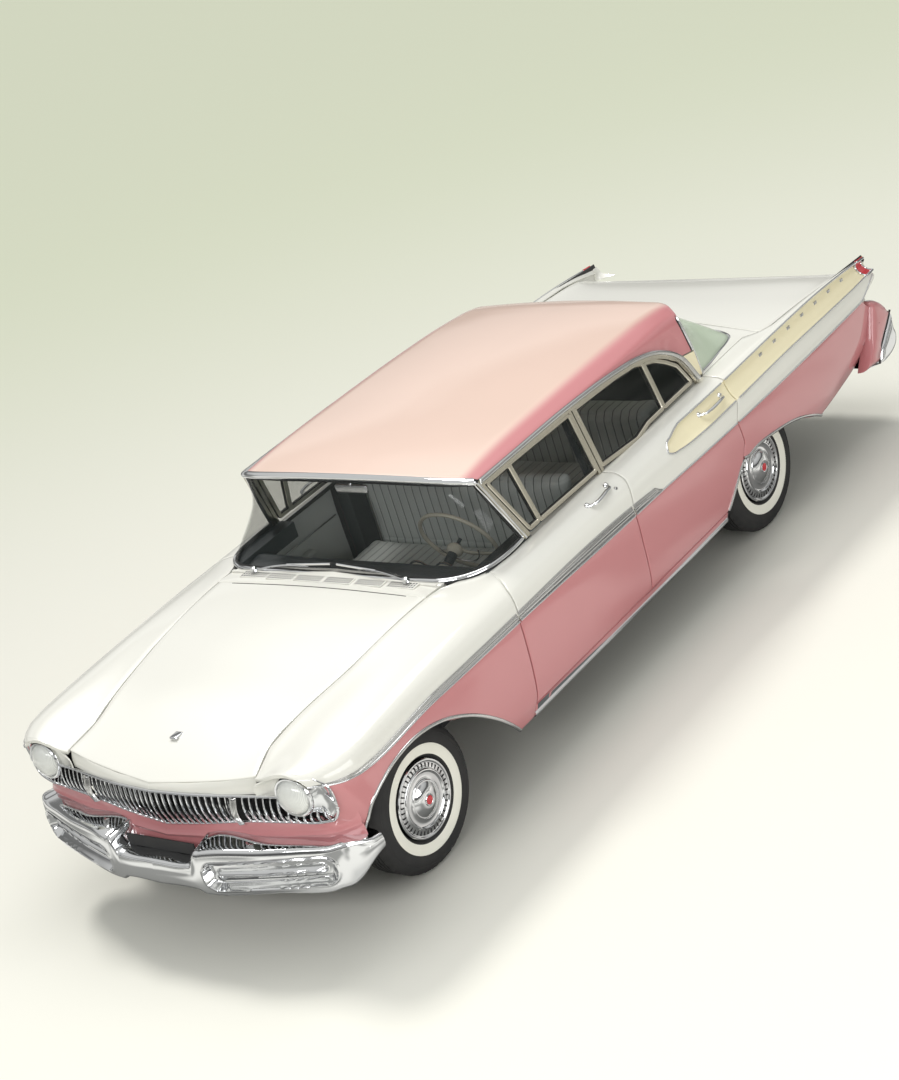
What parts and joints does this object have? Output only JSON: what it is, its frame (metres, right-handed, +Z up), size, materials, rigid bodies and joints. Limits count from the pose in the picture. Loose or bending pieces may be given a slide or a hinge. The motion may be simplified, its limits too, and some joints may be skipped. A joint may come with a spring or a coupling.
{
  "type": "four-door sedan car",
  "caption": "1950s American four-door sedan, two-tone, with wraparound windshield, bar grille, finned rear quarters, opening doors, hood and trunk, and steered front wheels.",
  "frame": {"origin": "on the ground, under the middle of the overall length and width", "axes": "+X to the car's left, +Y from the nose towards the tail, +Z up"},
  "size_m": [2.008, 5.362, 1.434],
  "materials": {
    "body_white": "gloss",
    "body_pink": "gloss",
    "roof_pink": "gloss",
    "inner_body": "satin",
    "chrome": "polished",
    "wheel_chrome": "polished",
    "glass": "clear",
    "tyre": "matte",
    "chassis": "satin",
    "engine": "matte",
    "running_gear": "matte",
    "knuckle": "machined",
    "exhaust": "dull",
    "tank": "satin",
    "radiator": "matte",
    "lamp": "polished",
    "tail_lamp": "clear red",
    "vinyl": "satin",
    "dash": "satin",
    "column": "satin",
    "steering_wheel": "gloss"
  },
  "bodies": {
    "body": {"front_fender_left": "body_white", "front_fender_right": "body_white", "inner_fender_left": "inner_body", "inner_fender_right": "inner_body", "roof": "roof_pink", "cowl": "body_white", "windshield": "glass", "side_frame_left": "body_pink", "side_frame_right": "body_pink", "quarter_panel_left": "body_white", "quarter_panel_right": "body_white", "rear_deck": "body_white", "rear_window": "glass", "rear_panel": "body_white", "tail_lamps": "tail_lamp", "floor_pan": "inner_body", "chassis_frame": "chassis", "engine_block": "engine", "radiator": "radiator", "front_suspension": "running_gear", "rear_axle": "running_gear", "exhaust": "exhaust", "fuel_tank": "tank", "front_panel": "body_pink", "grille": "chrome", "headlamps": "lamp", "front_bumper": "chrome", "rear_bumper": "chrome", "front_seat_base": "inner_body", "front_seat_cushion": "vinyl", "front_seat_back": "vinyl", "rear_seat_base": "inner_body", "rear_seat_cushion": "vinyl", "rear_seat_back": "vinyl", "dashboard": "dash", "steering_column": "column"},
    "hood": {"hood": "body_white"},
    "trunk_lid": {"trunk_lid": "body_white"},
    "door_front_left": {"door_front_left": "body_white", "door_front_glass_left": "glass"},
    "door_front_right": {"door_front_right": "body_white", "door_front_glass_right": "glass"},
    "door_rear_left": {"door_rear_left": "body_white", "door_rear_glass_left": "glass"},
    "door_rear_right": {"door_rear_right": "body_white", "door_rear_glass_right": "glass"},
    "steering_wheel": {"steering_wheel": "steering_wheel"},
    "knuckle_left": {"knuckle_left": "knuckle"},
    "knuckle_right": {"knuckle_right": "knuckle"},
    "wheel_front_left": {"tyre_front_left": "tyre", "wheel_front_left": "wheel_chrome"},
    "wheel_front_right": {"tyre_front_right": "tyre", "wheel_front_right": "wheel_chrome"},
    "wheel_rear_left": {"tyre_rear_left": "tyre", "wheel_rear_left": "wheel_chrome"},
    "wheel_rear_right": {"tyre_rear_right": "tyre", "wheel_rear_right": "wheel_chrome"}
  },
  "joints": [
    {"name": "door_front_left_hinge", "type": "hinge", "parent": "body", "child": "door_front_left", "pos_m": [0.97, -0.99, 0.5], "axis": [0, 0, -1], "range_deg": [0, 62]},
    {"name": "door_rear_left_hinge", "type": "hinge", "parent": "body", "child": "door_rear_left", "pos_m": [0.97, 0.03, 0.5], "axis": [0, 0, -1], "range_deg": [0, 62]},
    {"name": "door_front_right_hinge", "type": "hinge", "parent": "body", "child": "door_front_right", "pos_m": [-0.97, -0.99, 0.5], "axis": [0, 0, 1], "range_deg": [0, 62]},
    {"name": "door_rear_right_hinge", "type": "hinge", "parent": "body", "child": "door_rear_right", "pos_m": [-0.97, 0.03, 0.5], "axis": [0, 0, 1], "range_deg": [0, 62]},
    {"name": "hood_hinge", "type": "hinge", "parent": "body", "child": "hood", "pos_m": [0, -1.128, 0.975], "axis": [-1, 0, 0], "range_deg": [0, 45]},
    {"name": "trunk_lid_hinge", "type": "hinge", "parent": "body", "child": "trunk_lid", "pos_m": [0, 1.8, 0.96], "axis": [1, 0, 0], "range_deg": [0, 60]},
    {"name": "steering_wheel_turn", "type": "hinge", "parent": "body", "child": "steering_wheel", "pos_m": [0.38, -0.59, 0.94], "axis": [0, 0.9135, 0.4067], "range_deg": [-720, 720]},
    {"name": "knuckle_left_steer", "type": "hinge", "parent": "body", "child": "knuckle_left", "pos_m": [0.678, -1.808, 0.343], "axis": [0, 0, 1], "range_deg": [-32.5, 32.5]},
    {"name": "wheel_front_left_spin", "type": "hinge", "parent": "knuckle_left", "child": "wheel_front_left", "pos_m": [0.7545, -1.808, 0.343], "axis": [1, 0, 0], "continuous": true},
    {"name": "wheel_rear_left_spin", "type": "hinge", "parent": "body", "child": "wheel_rear_left", "pos_m": [0.7495, 1.291, 0.343], "axis": [1, 0, 0], "continuous": true},
    {"name": "knuckle_right_steer", "type": "hinge", "parent": "body", "child": "knuckle_right", "pos_m": [-0.678, -1.808, 0.343], "axis": [0, 0, 1], "range_deg": [-32.5, 32.5]},
    {"name": "wheel_front_right_spin", "type": "hinge", "parent": "knuckle_right", "child": "wheel_front_right", "pos_m": [-0.7545, -1.808, 0.343], "axis": [1, 0, 0], "continuous": true},
    {"name": "wheel_rear_right_spin", "type": "hinge", "parent": "body", "child": "wheel_rear_right", "pos_m": [-0.7495, 1.291, 0.343], "axis": [1, 0, 0], "continuous": true}
  ],
  "couplings": [
    {"joint": "knuckle_left_steer", "follows": "steering_wheel_turn", "ratio": 0.044444},
    {"joint": "knuckle_right_steer", "follows": "steering_wheel_turn", "ratio": 0.044444}
  ]
}
